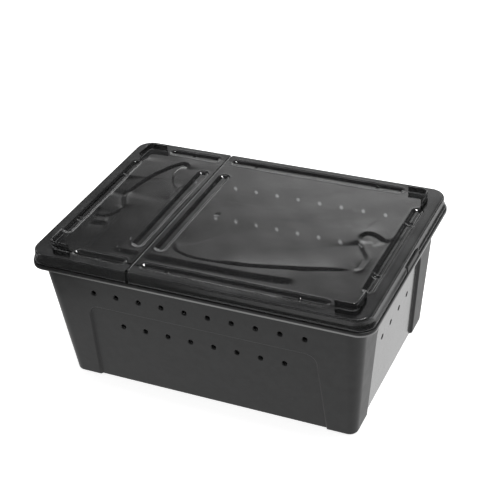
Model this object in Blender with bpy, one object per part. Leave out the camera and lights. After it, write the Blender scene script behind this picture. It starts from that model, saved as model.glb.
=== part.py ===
"""Portable reptile terrarium.

A tapered, vented tub carries a thin see-through lid that springs over its rim. The lid is
moulded in one piece: a main panel, a feeding flap, and the thin web between them, which is
the living hinge that the flap folds back on. Lengths are in metres. X runs along the long
side towards the main panel, Z is up, and the origin is under the middle of the base.
"""

import math

import bmesh
import bpy

# Overall sizes, over the rim and the stacking locators
overall_length = 0.260
overall_width = 0.175
overall_height = 0.115

# Tub
base_length = 0.2250
base_width = 0.1500
tub_wall = 0.0018
tub_floor = 0.0022
base_corner_radius = 0.0065
wall_corner_radius = 0.0115
bottom_fillet = 0.0012

# Rim of the tub: a flange with a lip that turns down, and a collar inside the lid
rim_overhang_ends = 0.0072
rim_overhang_sides = 0.0036
rim_corner_radius = 0.012
rim_thickness = 0.0016
rim_lip_depth = 0.0036
collar_wall = 0.0016

# Tabs that stand on both ends of the rim, one in each notch of the lid
rim_tab_gap = 0.0004
rim_tab_setback = 0.0005
rim_tab_radius = 0.0008
rim_tab_draft = 0.0003

# Recessed wall panels between the corner columns
recess_depth = 0.0021
recess_draft = 0.0008
recess_corner_radius = 0.008
recess_lean = 0.0035
front_column = 0.0215
end_column = 0.0245
front_recess_height = 0.068
end_recess_height = 0.077

# Vent holes
vent_diameter = 0.0034
vent_pitch = 0.018
vent_upper_height = 0.0820
vent_lower_height = 0.0535
vents_upper_row = 10
vents_lower_row = 8
vents_end_row = 4

# Lid
lid_sheet = 0.0013
lid_inset_ends = 0.0020
lid_inset_sides = 0.0009
lid_corner_radius = 0.012
lid_edge_fillet = 0.0017
skirt_height = 0.0089
skirt_setback = 0.0004
skirt_bend_height = 0.0045
skirt_bend_share = 0.15
skirt_gap = 0.0008
collar_gap = 0.0004
seat_gap = 0.0003
notch_length = 0.0255
notch_height = 0.0045

# Fold between the flap and the main panel
fold_place = -0.0487
fold_slot = 0.0022
web_gap = 0.0003
web_thickness = 0.0004

# Stiffening channels pressed down into the lid
channel_width = 0.009
channel_depth = 0.0014
channel_bed_share = 0.34
channel_growth = 0.0003
channel_inset_sides = 0.0108
channel_inset_ends = 0.0124
channel_corner_gap = 0.0308
channel_fold_gap = 0.0055
channel_end_length = 0.0205
channel_end_width = 0.0084
channel_end_depth = 0.0011
fold_channel_offset = 0.0091

# Stacking locators, one thin angle at each corner of the lid
locator_height = 0.0047
locator_wall = 0.0012
locator_reach_ends = 0.016
locator_reach_sides = 0.0175
locator_inset_ends = 0.0112
locator_inset_sides = 0.0101
locator_radius = 0.005

# Facets and working allowances
corner_steps = 6
fillet_steps = 3
channel_steps = 5
vent_sides = 12
overrun = 0.010

# Levels and half sizes that follow from the sizes above
plateau_z = overall_height - locator_height
skirt_bottom_z = plateau_z - skirt_height
flange_top_z = skirt_bottom_z - skirt_gap
flange_bottom_z = flange_top_z - rim_thickness
lip_bottom_z = flange_top_z - rim_lip_depth
collar_top_z = plateau_z - lid_sheet - seat_gap
sheet_middle_z = plateau_z - lid_sheet / 2

rim_half = (overall_length / 2, overall_width / 2)
base_half = (base_length / 2, base_width / 2)
wall_top_half = (rim_half[0] - rim_overhang_ends, rim_half[1] - rim_overhang_sides)
plateau_half = (rim_half[0] - lid_inset_ends, rim_half[1] - lid_inset_sides)
collar_half = tuple(half - lid_sheet - collar_gap for half in plateau_half)
collar_radius = lid_corner_radius - lid_sheet - collar_gap
skirt_half = tuple(half - skirt_setback for half in rim_half)
skirt_radius = rim_corner_radius - skirt_setback
bend_half = tuple(top + (foot - top) * skirt_bend_share for top, foot in zip(plateau_half, skirt_half))


def clear_scene():
    """Removes the objects of the start-up scene."""
    for item in list(bpy.data.objects):
        bpy.data.objects.remove(item, do_unlink=True)


def new_collection(name):
    """Makes a collection under the scene."""
    collection = bpy.data.collections.new(name)
    bpy.context.scene.collection.children.link(collection)
    return collection


def plastic(name, colour, roughness, alpha):
    """Makes a plain moulded plastic."""
    material = bpy.data.materials.new(name)
    material.use_nodes = True
    shader = material.node_tree.nodes["Principled BSDF"]
    shader.inputs["Base Color"].default_value = (*colour, 1.0)
    shader.inputs["Roughness"].default_value = roughness
    shader.inputs["Metallic"].default_value = 0.0
    shader.inputs["Alpha"].default_value = alpha
    return material


def rounded_ring(half_x, half_y, radius, z, centre=(0, 0), steps=corner_steps):
    """Points round a rectangle with round corners, anticlockwise from above."""
    radius = min(radius, half_x, half_y)
    points = []
    for quarter, (side_x, side_y) in enumerate(((1, 1), (-1, 1), (-1, -1), (1, -1))):
        for step in range(steps + 1):
            angle = (quarter + step / steps) * math.pi / 2
            points.append((centre[0] + side_x * (half_x - radius) + radius * math.cos(angle),
                           centre[1] + side_y * (half_y - radius) + radius * math.sin(angle), z))
    return points


def loft(name, sections, collection):
    """Makes a closed solid through sections that have equal numbers of points."""
    mesh = bmesh.new()
    rings = [[mesh.verts.new(point) for point in section] for section in sections]
    for lower, upper in zip(rings, rings[1:]):
        for index, corner in enumerate(lower):
            following = (index + 1) % len(lower)
            mesh.faces.new((corner, lower[following], upper[following], upper[index]))
    mesh.faces.new(list(reversed(rings[0])))
    mesh.faces.new(rings[-1])
    bmesh.ops.recalc_face_normals(mesh, faces=mesh.faces)
    data = bpy.data.meshes.new(name)
    mesh.to_mesh(data)
    mesh.free()
    item = bpy.data.objects.new(name, data)
    collection.objects.link(item)
    return item


def block(name, low, high, collection):
    """Makes a box between two corners, as a cube primitive that is scaled and moved."""
    mesh = bmesh.new()
    bmesh.ops.create_cube(mesh, size=1.0)
    bmesh.ops.scale(mesh, vec=[b - a for a, b in zip(low, high)], verts=mesh.verts)
    bmesh.ops.translate(mesh, vec=[(a + b) / 2 for a, b in zip(low, high)], verts=mesh.verts)
    data = bpy.data.meshes.new(name)
    mesh.to_mesh(data)
    mesh.free()
    item = bpy.data.objects.new(name, data)
    collection.objects.link(item)
    return item


def as_tool(item):
    """Marks an object as a cutter or an addition that isn't built by itself."""
    item.display_type = "WIRE"
    item.hide_render = True
    return item


def combine(item, tool, operation):
    """Adds an exact Boolean to an object."""
    modifier = item.modifiers.new(f"{operation.lower()} {tool.name}", "BOOLEAN")
    modifier.solver = "EXACT"
    modifier.operation = operation
    modifier.object = as_tool(tool)


def finish(item, material):
    """Gives a finished object its material and smooth shading."""
    item.data.materials.clear()
    item.data.materials.append(material)
    item.data.shade_smooth()
    item.data.set_sharp_from_angle(angle=math.radians(30))


def wall_half(axis, z):
    """Half size of the tapered outer wall at a height."""
    return base_half[axis] + (wall_top_half[axis] - base_half[axis]) * z / flange_top_z


def wall_radius(z):
    """Corner radius of the tapered outer wall at a height."""
    return base_corner_radius + (wall_corner_radius - base_corner_radius) * z / flange_top_z


def wall_ring(z, inset):
    """A ring of the tapered wall, moved inwards by an inset."""
    return rounded_ring(wall_half(0, z) - inset, wall_half(1, z) - inset, wall_radius(z) - inset, z)


def bottom_rings(floor_z, fillet, inset):
    """Rings that round the edge between the floor and the wall."""
    rings = []
    for step in range(fillet_steps + 1):
        angle = step / fillet_steps * math.pi / 2
        z = floor_z + fillet * (1 - math.cos(angle))
        rings.append(wall_ring(z, inset + fillet * (1 - math.sin(angle))))
    return rings


def tub_outside(cutters):
    """The outer form of the tub, without its hollow: the tapered wall and the collar."""
    rings = bottom_rings(0, bottom_fillet, 0)
    rings.append(wall_ring(flange_bottom_z, 0))
    rings.append(rounded_ring(*collar_half, collar_radius, flange_bottom_z))
    rings.append(rounded_ring(*collar_half, collar_radius, collar_top_z))
    body = loft("tub", rings, parts)
    flange = loft("rim_flange", [rounded_ring(*rim_half, rim_corner_radius, lip_bottom_z),
                                 rounded_ring(*rim_half, rim_corner_radius, flange_top_z)], cutters)
    inner = [half - rim_thickness for half in rim_half]
    under = loft("rim_flange_underside",
                 [rounded_ring(*inner, rim_corner_radius - rim_thickness, lip_bottom_z - overrun),
                  rounded_ring(*inner, rim_corner_radius - rim_thickness, flange_bottom_z)], cutters)
    combine(flange, under, "DIFFERENCE")
    return body, flange


def tub_hollow(cutters):
    """The room inside the tub, with the wider step at the collar."""
    rings = bottom_rings(tub_floor, bottom_fillet, tub_wall)
    rings.append(wall_ring(flange_top_z, tub_wall))
    inner = [half - collar_wall for half in collar_half]
    rings.append(rounded_ring(*inner, collar_radius - collar_wall, flange_top_z))
    rings.append(rounded_ring(*inner, collar_radius - collar_wall, collar_top_z + overrun))
    return loft("tub_hollow", rings, cutters)


def recess_outline(half_width, height, grow):
    """Outline of a wall recess as (along the wall, height), round at its upper corners."""
    radius = recess_corner_radius + grow
    foot = half_width + grow
    top = height + grow
    shoulder = foot - recess_lean - radius
    left = []
    for step in range(corner_steps + 1):
        angle = step / corner_steps * math.pi / 2
        left.append((shoulder + radius * math.cos(angle), top - radius + radius * math.sin(angle)))
    right = [(-along, z) for along, z in reversed(left)]
    return [(-foot, -overrun), (foot, -overrun)] + left + right


def recess_tool(name, axis, side, half_width, height, inset, cutters):
    """A slab that follows one tapered wall and cuts its recess, or keeps the hollow off it."""
    sections = []
    for reach, grow in ((-recess_depth, 0), (overrun, recess_draft * (1 + overrun / recess_depth))):
        section = []
        for along, z in recess_outline(half_width, height, grow + inset):
            out = side * (wall_half(axis, z) - inset + reach)
            section.append((out, along, z) if axis == 0 else (along, out, z))
        sections.append(section)
    return loft(name, sections, cutters)


def cut_recesses(item, inset, cutters):
    """Cuts the four wall recesses, or the four steps that follow them on the hollow."""
    sizes = {0: (base_half[1] - end_column, end_recess_height),
             1: (base_half[0] - front_column, front_recess_height)}
    for axis, (half_width, height) in sizes.items():
        for side in (-1, 1):
            name = f"{item.name}_recess_{axis}_{'low' if side < 0 else 'high'}"
            combine(item, recess_tool(name, axis, side, half_width, height, inset, cutters), "DIFFERENCE")


def vent_row(count):
    """Places of the vents of one row along its wall."""
    return [(index - (count - 1) / 2) * vent_pitch for index in range(count)]


def vent_tool(cutters):
    """All the vent drills, as rods that pass through both opposite walls."""
    mesh = bmesh.new()
    rods = [(1, along, vent_upper_height) for along in vent_row(vents_upper_row)]
    rods += [(1, along, vent_lower_height) for along in vent_row(vents_lower_row)]
    rods += [(0, along, vent_lower_height) for along in vent_row(vents_end_row)]
    for axis, along, z in rods:
        made = bmesh.ops.create_cone(mesh, cap_ends=True, segments=vent_sides, radius1=vent_diameter / 2,
                                     radius2=vent_diameter / 2, depth=2 * (rim_half[axis] + overrun))
        for vertex in made["verts"]:
            x, y, length = vertex.co
            vertex.co = (length, along + y, z + x) if axis == 0 else (along + x, length, z + y)
    bmesh.ops.recalc_face_normals(mesh, faces=mesh.faces)
    data = bpy.data.meshes.new("vent_drills")
    mesh.to_mesh(data)
    mesh.free()
    drills = bpy.data.objects.new("vent_drills", data)
    cutters.objects.link(drills)
    return drills


def rim_tab(name, side, cutters):
    """One tab of the rim, from inside the collar's wall to just short of the lip."""
    inner_x = collar_half[0] - collar_wall / 2
    outer_x = rim_half[0] - rim_tab_setback
    centre = (side * (inner_x + outer_x) / 2, 0)
    half_x = (outer_x - inner_x) / 2
    half_y = notch_length / 2 - rim_tab_gap
    top_z = skirt_bottom_z + notch_height - rim_tab_gap
    root_z = flange_top_z - rim_thickness / 2
    rings = [rounded_ring(half_x, half_y - drawn_in, rim_tab_radius, z, centre, fillet_steps)
             for drawn_in, z in ((0, root_z), (rim_tab_draft, top_z))]
    return loft(name, rings, cutters)


def make_tub(cutters):
    """The tub: one moulding with its rim, recessed panels and vents."""
    body, flange = tub_outside(cutters)
    cut_recesses(body, 0, cutters)
    combine(body, flange, "UNION")
    for side, tag in ((-1, "low"), (1, "high")):
        combine(body, rim_tab(f"rim_tab_{tag}", side, cutters), "UNION")
    hollow = tub_hollow(cutters)
    cut_recesses(hollow, tub_wall, cutters)
    combine(body, hollow, "DIFFERENCE")
    combine(body, vent_tool(cutters), "DIFFERENCE")
    return body


def lid_rings(inset, top_z, foot_levels, fillet):
    """Rings from the flared foot of the skirt over its rounded edge to the top of the lid."""
    rings = [rounded_ring(*(half - inset for half in skirt_half), skirt_radius - inset, z)
             for z in foot_levels]
    rings.append(rounded_ring(*(half - inset for half in bend_half), lid_corner_radius - inset,
                              skirt_bottom_z + skirt_bend_height))
    for step in range(fillet_steps + 1):
        angle = step / fillet_steps * math.pi / 2
        shrink = inset + fillet * (1 - math.cos(angle))
        rings.append(rounded_ring(*(half - shrink for half in plateau_half),
                                  lid_corner_radius - shrink, top_z - fillet * (1 - math.sin(angle))))
    return rings


def lid_shell(name, collection, cutters):
    """The whole sheet of the lid with its skirt, before the fold parts it."""
    shell = loft(name, lid_rings(0, plateau_z, [skirt_bottom_z], lid_edge_fillet), collection)
    inner_fillet = lid_edge_fillet - lid_sheet
    foot_levels = [skirt_bottom_z - overrun, skirt_bottom_z]
    inside = loft(f"{name}_inside", lid_rings(lid_sheet, plateau_z - lid_sheet, foot_levels, inner_fillet),
                  cutters)
    combine(shell, inside, "DIFFERENCE")
    return shell


def channel_solid(name, start, end, width, depth, level, growth, cutters):
    """The room or the underside of a channel with round ends and sloping walls, along X or Y."""
    centre = [(a + b) / 2 for a, b in zip(start, end)]
    reach = [abs(b - a) / 2 for a, b in zip(start, end)]
    above = lid_sheet / 2 if growth else overrun
    rings = []
    for drop, share in ((depth, channel_bed_share), (0, 1), (-above, 1)):
        half = width / 2 * share + growth
        spread = [max(length - width / 2, 0) + half if length else half for length in reach]
        rings.append(rounded_ring(*spread, half, level - drop, centre, channel_steps))
    return loft(name, rings, cutters)


def channel_lengths(name, start, end, trims):
    """The whole length of a channel and its middle, which is wider and deeper."""
    along = 0 if start[0] != end[0] else 1
    near, far = list(start), list(end)
    near[along] += trims[0]
    far[along] -= trims[1]
    return [(f"{name}_whole", start, end, channel_end_width, channel_end_depth),
            (f"{name}_middle", near, far, channel_width, channel_depth)]


def press_channels(item, lengths, cutters):
    """Adds the undersides of all the channels to a panel, and then cuts their rooms."""
    for name, start, end, width, depth in lengths:
        under = channel_solid(f"{name}_underside", start, end, width, depth, plateau_z - lid_sheet,
                              channel_growth, cutters)
        combine(item, under, "UNION")
    for name, start, end, width, depth in lengths:
        room = channel_solid(f"{name}_room", start, end, width, depth, plateau_z, 0, cutters)
        combine(item, room, "DIFFERENCE")


def locator_solid(name, side_x, side_y, cutters):
    """One stacking locator: a thin upright angle with a round corner."""
    outer = (plateau_half[0] - locator_inset_ends, plateau_half[1] - locator_inset_sides)
    sections = []
    for z in (sheet_middle_z, plateau_z + locator_height):
        section = []
        for inset in (0, locator_wall):
            radius = locator_radius - inset
            face = [(outer[0] - locator_reach_ends, outer[1] - inset)]
            for step in range(corner_steps + 1):
                angle = (1 - step / corner_steps) * math.pi / 2
                face.append((outer[0] - locator_radius + radius * math.cos(angle),
                             outer[1] - locator_radius + radius * math.sin(angle)))
            face.append((outer[0] - inset, outer[1] - locator_reach_sides))
            section += face if inset == 0 else list(reversed(face))
        sections.append([(side_x * x, side_y * y, z) for x, y in section])
    return loft(name, sections, cutters)


def panel_channels(name, side_x):
    """The channels of one panel: along its two sides, along its end and along the fold."""
    line_y = plateau_half[1] - channel_inset_sides
    outer_x = side_x * (plateau_half[0] - channel_corner_gap)
    inner_x = fold_place + side_x * channel_fold_gap
    span = sorted((outer_x, inner_x))
    both_ends = (channel_end_length, channel_end_length)
    trims = both_ends if side_x > 0 else (channel_end_length, 0)
    line_x = side_x * (plateau_half[0] - channel_inset_ends)
    fold_x = fold_place + side_x * fold_channel_offset
    reach = plateau_half[1] - channel_corner_gap
    lengths = [(f"{name}_fold_channel", (fold_x, -reach), (fold_x, reach), channel_width, channel_depth)]
    lengths += channel_lengths(f"{name}_end_channel", (line_x, -reach), (line_x, reach), both_ends)
    for side_y, tag in ((-1, "front"), (1, "back")):
        y = side_y * line_y
        lengths += channel_lengths(f"{name}_{tag}_channel", (span[0], y), (span[1], y), trims)
    return lengths


def make_panel(name, side_x, cutters):
    """One panel of the lid, on one side of the fold."""
    panel = lid_shell(name, parts, cutters)
    press_channels(panel, panel_channels(name, side_x), cutters)
    for side_y, tag in ((-1, "front"), (1, "back")):
        combine(panel, locator_solid(f"{name}_locator_{tag}", side_x, side_y, cutters), "UNION")
    edge = fold_place + side_x * fold_slot / 2
    far = -side_x * (rim_half[0] + overrun)
    low_x, high_x = sorted((edge, far))
    away = block(f"{name}_fold_cut", (low_x, -rim_half[1] - overrun, skirt_bottom_z - overrun),
                 (high_x, rim_half[1] + overrun, overall_height + overrun), cutters)
    combine(panel, away, "DIFFERENCE")
    near_x, far_x = sorted((side_x * collar_half[0], side_x * (rim_half[0] + overrun)))
    notch = block(f"{name}_notch", (near_x, -notch_length / 2, skirt_bottom_z - overrun),
                  (far_x, notch_length / 2, skirt_bottom_z + notch_height), cutters)
    combine(panel, notch, "DIFFERENCE")
    return panel


def make_web():
    """The thin strip between the panels, level with their top, that bends when the flap folds back."""
    half = fold_slot / 2 - web_gap
    reach = plateau_half[1] - lid_edge_fillet
    return block("hinge_web", (fold_place - half, -reach, plateau_z - web_thickness),
                 (fold_place + half, reach, plateau_z), parts)


def axis_empty(name, place, parent):
    """Marks a joint axis and carries what moves on it."""
    empty = bpy.data.objects.new(name, None)
    empty.location = place
    empty.parent = parent
    parts.objects.link(empty)
    return empty


def hang(item, empty, place):
    """Hangs a finished piece on its axis without moving it."""
    item.parent = empty
    item.location = [-value for value in place]


clear_scene()
parts = new_collection("reptile_terrarium")
tools = new_collection("cutters")
tools.hide_render = True

black_plastic = plastic("black_plastic", (0.018, 0.018, 0.019), 0.45, 1.0)
smoked_plastic = plastic("smoked_plastic", (0.055, 0.056, 0.058), 0.12, 0.6)

tub = make_tub(tools)
lid_main = make_panel("lid_main", 1, tools)
lid_flap = make_panel("lid_flap", -1, tools)
hinge_web = make_web()

finish(tub, black_plastic)
for moulding in (lid_main, lid_flap, hinge_web):
    finish(moulding, smoked_plastic)

lift_place = (0, 0, flange_top_z)
fold_axis_place = (fold_place - fold_slot / 2 + web_gap / 2, 0, plateau_z)
lift_empty = axis_empty("lid_lift_axis", lift_place, None)
flap_empty = axis_empty("flap_fold_axis", [b - a for a, b in zip(lift_place, fold_axis_place)], lift_empty)
hang(lid_main, lift_empty, lift_place)
hang(hinge_web, lift_empty, lift_place)
hang(lid_flap, flap_empty, fold_axis_place)
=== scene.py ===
"""Looks of the portable reptile terrarium: a vented black tub under a thin smoked lid.

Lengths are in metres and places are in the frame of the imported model: X runs along the long
side towards the main panel of the lid, Z is up, and the origin is under the middle of the base.
"""

import logging
import math
from collections.abc import Callable, Sequence
from dataclasses import dataclass
from enum import Enum

import bmesh
import bpy
import numpy as np
from bpy.types import Material, Node, NodeSocket, NodeTree, Object
from mathutils import Matrix, Vector


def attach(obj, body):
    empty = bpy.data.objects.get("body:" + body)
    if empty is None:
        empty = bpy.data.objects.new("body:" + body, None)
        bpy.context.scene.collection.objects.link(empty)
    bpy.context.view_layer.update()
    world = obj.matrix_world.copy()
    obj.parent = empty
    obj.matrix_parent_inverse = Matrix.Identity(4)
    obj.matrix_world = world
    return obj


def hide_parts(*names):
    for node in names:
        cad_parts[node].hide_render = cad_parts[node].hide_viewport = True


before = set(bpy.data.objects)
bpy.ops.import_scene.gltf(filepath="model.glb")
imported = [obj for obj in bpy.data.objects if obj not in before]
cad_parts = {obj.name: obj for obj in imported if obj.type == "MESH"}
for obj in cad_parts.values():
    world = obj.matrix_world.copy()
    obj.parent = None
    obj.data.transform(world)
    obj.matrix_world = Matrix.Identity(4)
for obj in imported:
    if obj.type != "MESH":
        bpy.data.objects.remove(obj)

LOG = logging.getLogger("terrarium")
TINY = 1e-9
FACING = 0.9  # least part of a normal along an axis that counts as facing along it


class Panel(Enum):
    """The two panels of the lid, by the side of the fold that they lie on."""

    MAIN = 1
    FLAP = -1


class Wall(Enum):
    """The four walls of the tub, as the axis that they face along and its sign."""

    FRONT = (1, -1)
    BACK = (1, 1)
    LEFT = (0, -1)
    RIGHT = (0, 1)


class Shade(Enum):
    """Places of the material slots on the tub."""

    GRAINED = 0
    # Black plastic with boosted reflection: a painted reflection on the end panels and the lip's foot.
    PRESSED = 1


class Sheen(Enum):
    """Places of the material slots on the lid."""

    GLOSS = 0
    # Rough border finish: real roughness, with darker dye and weaker reflection as painted shade.
    MATT = 1


class Value:
    """A socket that carries numbers, for shader maths written as expressions."""

    def __init__(self, graph: "Graph", socket: NodeSocket) -> None:
        """Wraps one output socket of a graph.

        Args:
            graph: The graph that the socket belongs to.
            socket: The output socket.
        """
        self.graph = graph
        self.socket = socket

    def maths(self, operation: str, *others: "Value | float",
              first: "Value | float | None" = None) -> "Value":
        """Adds a Math node.

        Args:
            operation: The node's operation.
            others: What follows the first operand.
            first: The first operand, where it isn't this value.

        Returns:
            The node's result.
        """
        operands = [self if first is None else first, *others]
        node = self.graph.add("ShaderNodeMath", {"operation": operation}, dict(enumerate(operands)))
        return Value(self.graph, node.outputs[0])

    def __add__(self, other: "Value | float") -> "Value":
        """Adds."""
        return self.maths("ADD", other)

    __radd__ = __add__

    def __sub__(self, other: "Value | float") -> "Value":
        """Takes away."""
        return self.maths("SUBTRACT", other)

    def __rsub__(self, other: float) -> "Value":
        """Takes this value away from a number."""
        return self.maths("SUBTRACT", self, first=other)

    def __mul__(self, other: "Value | float") -> "Value":
        """Multiplies."""
        return self.maths("MULTIPLY", other)

    __rmul__ = __mul__

    def __truediv__(self, other: "Value | float") -> "Value":
        """Divides."""
        return self.maths("DIVIDE", other)

    def smooth(self, low: float, high: float) -> "Value":
        """Rises smoothly from 0 at low to 1 at high.

        Args:
            low: Where the result is 0.
            high: Where the result is 1. It may be below low.

        Returns:
            The smoothed value.
        """
        span = (low, high, 0.0, 1.0) if low < high else (high, low, 1.0, 0.0)
        node = self.graph.add("ShaderNodeMapRange", {"interpolation_type": "SMOOTHSTEP"},
                              dict(enumerate((self, *span))))
        return Value(self.graph, node.outputs[0])


class Graph:
    """A node tree that is emptied and filled by the finishes."""

    def __init__(self, tree: NodeTree) -> None:
        """Empties the tree.

        Args:
            tree: The node tree of a material or world.
        """
        self.tree = tree
        tree.nodes.clear()

    def add(self, kind: str, settings: dict | None = None, values: dict | None = None) -> Node:
        """Makes a node, with its settings first and then its sockets.

        Args:
            kind: The node's type.
            settings: Attributes of the node.
            values: Numbers, colours or links by socket name or index.

        Returns:
            The node.
        """
        node = self.tree.nodes.new(kind)
        for name, value in (settings or {}).items():
            setattr(node, name, value)
        for name, value in (values or {}).items():
            source = value.socket if isinstance(value, Value) else value
            if isinstance(source, NodeSocket):
                self.tree.links.new(source, node.inputs[name])
            else:
                node.inputs[name].default_value = source
        return node

    def value(self, node: Node, output: str | int = 0) -> Value:
        """Wraps an output of a node."""
        return Value(self, node.outputs[output])

    def place(self) -> NodeSocket:
        """Gives the Object coordinates."""
        return self.add("ShaderNodeTexCoord").outputs["Object"]

    def noise(self, place: NodeSocket, scale: float, detail: float,
              seed: float = 0.0) -> Value:
        """Adds a noise texture.

        Args:
            place: The coordinates that it reads.
            scale: Cells per metre.
            detail: Number of finer layers.
            seed: The fourth coordinate.

        Returns:
            A value round one half.
        """
        node = self.add("ShaderNodeTexNoise", {"noise_dimensions": "4D"},
                        {"Vector": place, "W": seed, "Scale": scale, "Detail": detail})
        return Value(self, node.outputs[0])

    def mix_colour(self, factor: Value, first: tuple | NodeSocket,
                   second: tuple | NodeSocket) -> NodeSocket:
        """Mixes two colours.

        Args:
            factor: Share of the second colour.
            first: The first colour.
            second: The second colour.

        Returns:
            The mixed colour.
        """
        node = self.add("ShaderNodeMix", {"data_type": "RGBA"}, {0: factor, 6: first, 7: second})
        return node.outputs[2]

    def bump(self, height: Value, distance: float) -> NodeSocket:
        """Turns a height into a normal.

        Args:
            height: The height, from 0 to 1.
            distance: How far height 1 stands out, in metres.

        Returns:
            The normal.
        """
        node = self.add("ShaderNodeBump", {}, {"Strength": 1.0, "Distance": distance, "Height": height})
        return node.outputs[0]


def colour(grey: float, tint: float = 0.0) -> tuple[float, float, float, float]:
    """Gives a linear grey with a slight cool tint."""
    return (grey * (1 - tint), grey, grey * (1 + tint), 1.0)


def new_material(name: str) -> tuple[Material, Graph]:
    """Makes a material whose node tree is empty.

    Args:
        name: Name of the material.

    Returns:
        The material and its graph.
    """
    material = bpy.data.materials.new(name)
    material.use_nodes = True
    return material, Graph(material.node_tree)


@dataclass(frozen=True)
class BlackPlastic:
    """Injection-moulded black plastic, with a faint grain, flow marks and handling marks."""

    name: str = "black_plastic"
    dark: float = 0.008
    light: float = 0.014
    roughness: float = 0.33
    roughness_spread: float = 0.16
    ior: float = 1.5
    coat: float = 0.0
    coat_ior: float = 1.5
    coat_roughness: float = 0.12
    grain_scale: float = 1500.0
    grain_depth: float = 0.000012
    flow_scale: float = 38.0
    flow_depth: float = 0.00035

    def make(self) -> Material:
        """Makes the material.

        Returns:
            The material.
        """
        material, graph = new_material(self.name)
        place = graph.place()
        flow = graph.noise(place, self.flow_scale, 3.0)
        haze = graph.noise(place, self.flow_scale * 4, 4.0, 3.0)
        grain = graph.noise(place, self.grain_scale, 2.0, 7.0)
        scratches = graph.noise(place, self.flow_scale * 9, 5.0, 11.0).smooth(0.63, 0.72)
        shade = graph.mix_colour(haze.smooth(0.3, 0.7), colour(self.dark, 0.02), colour(self.light, 0.02))
        shade = graph.mix_colour(scratches * 0.25, shade, colour(self.light * 3, 0.02))
        rough = self.roughness + (haze - 0.5) * self.roughness_spread + scratches * 0.08
        height = flow * self.flow_depth + grain * self.grain_depth
        shader = graph.add("ShaderNodeBsdfPrincipled", {}, {
            "Base Color": shade, "Roughness": rough, "IOR": self.ior,
            "Coat Weight": self.coat, "Coat IOR": self.coat_ior, "Coat Roughness": self.coat_roughness,
            "Normal": graph.bump(height, 1.0)})
        graph.add("ShaderNodeOutputMaterial", {}, {"Surface": shader.outputs[0]})
        return material


@dataclass(frozen=True)
class SmokedPlastic:
    """Clear plastic with a smoky dye, glossy, with faint haze and polish marks."""

    name: str = "smoked_plastic"
    thick: float = 0.13
    thin: float = 0.17
    haze: float = 0.04
    roughness: float = 0.045
    ior: float = 1.55
    haze_scale: float = 55.0
    ripple_scale: float = 75.0
    ripple_depth: float = 0.00006

    def make(self) -> Material:
        """Makes the material.

        Returns:
            The material.
        """
        material, graph = new_material(self.name)
        place = graph.place()
        cloud = graph.noise(place, self.haze_scale, 4.0)
        ripple = graph.noise(place, self.ripple_scale, 1.0, 5.0)
        dust = graph.noise(place, self.haze_scale * 40, 1.0, 9.0).smooth(0.74, 0.82)
        shade = graph.mix_colour(cloud.smooth(0.3, 0.7), colour(self.thick, 0.01), colour(self.thin, 0.01))
        rough = self.roughness + cloud.smooth(0.35, 0.75) * 0.02 + dust * 0.05
        shader = graph.add("ShaderNodeBsdfPrincipled", {}, {
            "Base Color": shade, "Roughness": rough, "IOR": self.ior,
            "Transmission Weight": 1.0 - self.haze,
            "Normal": graph.bump(ripple, self.ripple_depth)})
        graph.add("ShaderNodeOutputMaterial", {}, {"Surface": shader.outputs[0]})
        return material


def at_height(flat: np.ndarray, z: float) -> np.ndarray:
    """Gives flat points a height."""
    return np.column_stack([flat, np.full(len(flat), z)])


def bezel(half: Sequence[float], radius: float, z: float, steps: int, support: float = 0.0008) -> np.ndarray:
    """Gives a ring round a rectangle with round corners, with a support point beside each arc.

    Args:
        half: Half sizes along X and Y.
        radius: Corner radius.
        z: Height of the ring.
        steps: Facets of each corner.
        support: Distance of the support points from the arcs.

    Returns:
        Points anticlockwise from above, one row each.
    """
    points = []
    for quarter, (side_x, side_y) in enumerate(((1, 1), (-1, 1), (-1, -1), (1, -1))):
        centre = np.array([side_x * (half[0] - radius), side_y * (half[1] - radius)])
        angles = (quarter + np.arange(steps + 1) / steps) * math.pi / 2
        arc = centre + radius * np.stack([np.cos(angles), np.sin(angles)], 1)
        before = arc[0] - support * np.array([-math.sin(angles[0]), math.cos(angles[0])])
        after = arc[-1] + support * np.array([-math.sin(angles[-1]), math.cos(angles[-1])])
        points += [before, *arc, after]
    return at_height(np.array(points), z)


def link(name: str, mesh: bmesh.types.BMesh) -> Object:
    """Turns mesh data into an object of the scene.

    Args:
        name: Name of the object and its mesh.
        mesh: The mesh data, which is freed.

    Returns:
        The object.
    """
    data = bpy.data.meshes.new(name)
    mesh.to_mesh(data)
    mesh.free()
    item = bpy.data.objects.new(name, data)
    bpy.context.scene.collection.objects.link(item)
    return item


def loft(name: str, sections: Sequence[Sequence[Sequence[float]]]) -> Object:
    """Makes a closed solid through sections that have equal numbers of points.

    Args:
        name: Name of the object.
        sections: The sections, each a closed row of points.

    Returns:
        The object.
    """
    mesh = bmesh.new()
    rings = [[mesh.verts.new(point) for point in section] for section in sections]
    for lower, upper in zip(rings, rings[1:]):
        for index, corner in enumerate(lower):
            following = (index + 1) % len(lower)
            mesh.faces.new((corner, lower[following], upper[following], upper[index]))
    mesh.faces.new(list(reversed(rings[0])))
    mesh.faces.new(rings[-1])
    bmesh.ops.recalc_face_normals(mesh, faces=mesh.faces)
    return link(name, mesh)


def bridge(mesh: bmesh.types.BMesh, first: Sequence[bmesh.types.BMVert],
           second: Sequence[bmesh.types.BMVert]) -> None:
    """Joins two equal rows of points with a strip of faces.

    Args:
        mesh: The mesh data.
        first: The first row.
        second: The second row.
    """
    for k in range(len(first) - 1):
        mesh.faces.new((first[k], first[k + 1], second[k + 1], second[k]))


def remove(*items: Object) -> None:
    """Takes helper objects out of the file."""
    for item in items:
        bpy.data.objects.remove(item, do_unlink=True)


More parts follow.
